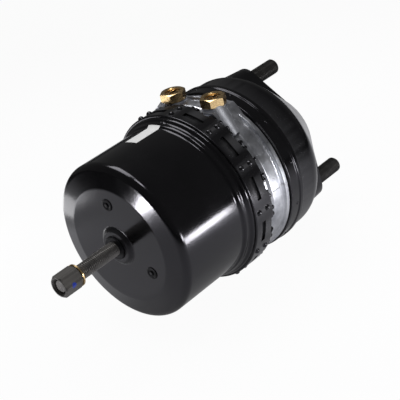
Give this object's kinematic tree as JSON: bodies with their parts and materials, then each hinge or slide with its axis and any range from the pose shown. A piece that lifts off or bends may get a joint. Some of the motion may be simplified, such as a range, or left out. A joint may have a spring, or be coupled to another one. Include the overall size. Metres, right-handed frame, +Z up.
{
  "type": "air brake chamber",
  "caption": "Combined service and spring parking brake chamber for a disc brake, with release bolt, mounting studs and brass air ports.",
  "frame": {"origin": "centre of the mounting face, midway between the two studs", "axes": "+X along the push rod out of the mounting face, +Z up through the air ports, body towards -X"},
  "size_m": [0.3525, 0.1746, 0.1778],
  "materials": {
    "gloss_black": "smooth glossy black paint on the deep-drawn can",
    "satin_black": "satin black coating on pressed steel",
    "housing_black": "semi-gloss black paint on pressed steel",
    "cast_aluminium": "fine die-cast surface with turned bands",
    "brass": "machined bright brass",
    "black_phosphate": "black phosphated steel thread",
    "dark_steel": "dark oiled steel",
    "plain_steel": "turned bare steel",
    "piston_aluminium": "die-cast aluminium",
    "spring_paint": "dark coated spring wire",
    "black_rubber": "matt black rubber",
    "diaphragm_rubber": "fabric-backed black rubber",
    "bush_plastic": "natural low-friction plastic",
    "blank_label": "blank white film"
  },
  "bodies": {
    "chamber": {"spring_can": "gloss_black", "vent_plugs": "black_rubber", "bolt_boss": "dark_steel", "retaining_band": "satin_black", "band_pins": "satin_black", "can_seal": "black_rubber", "partition": "cast_aluminium", "port_adapters": "brass", "tube_seals": "black_rubber", "tube_bush": "bush_plastic", "service_diaphragm": "diaphragm_rubber", "service_housing": "housing_black", "clamp_ring": "housing_black", "reinforcement_plate": "dark_steel", "mounting_studs": "black_phosphate", "boot": "black_rubber", "boot_ring": "dark_steel", "power_spring": "spring_paint", "return_spring": "spring_paint", "label": "blank_label"},
    "bolt_carrier": {"thrust_washer": "plain_steel"},
    "release_bolt": {"release_bolt": "black_phosphate", "release_hex": "black_phosphate", "bolt_washer": "brass"},
    "parking_piston": {"parking_piston": "piston_aluminium", "piston_seal": "black_rubber", "piston_guide_ring": "bush_plastic", "piston_tube": "plain_steel", "tube_foot": "bush_plastic"},
    "push_rod": {"pressure_plate": "plain_steel", "push_rod": "plain_steel"}
  },
  "joints": [
    {"name": "release_bolt_travel", "type": "slide", "parent": "chamber", "child": "bolt_carrier", "axis": [1, 0, 0], "range_m": [0, 0.0452]},
    {"name": "release_bolt_turn", "type": "hinge", "parent": "bolt_carrier", "child": "release_bolt", "pos_m": [-0.2, 0, 0], "axis": [1, 0, 0], "range_deg": [0, 8136]},
    {"name": "parking_piston_travel", "type": "slide", "parent": "chamber", "child": "parking_piston", "axis": [1, 0, 0], "range_m": [0, 0.045], "deforming": ["power_spring"]},
    {"name": "push_rod_travel", "type": "slide", "parent": "chamber", "child": "push_rod", "axis": [1, 0, 0], "range_m": [0, 0.0452], "deforming": ["return_spring", "service_diaphragm", "boot"]}
  ],
  "couplings": [
    {"joint": "release_bolt_travel", "follows": "parking_piston_travel", "ratio": 1},
    {"joint": "push_rod_travel", "follows": "parking_piston_travel", "ratio": 1},
    {"joint": "release_bolt_turn", "follows": "parking_piston_travel", "rad_per_m": 3141.6}
  ]
}
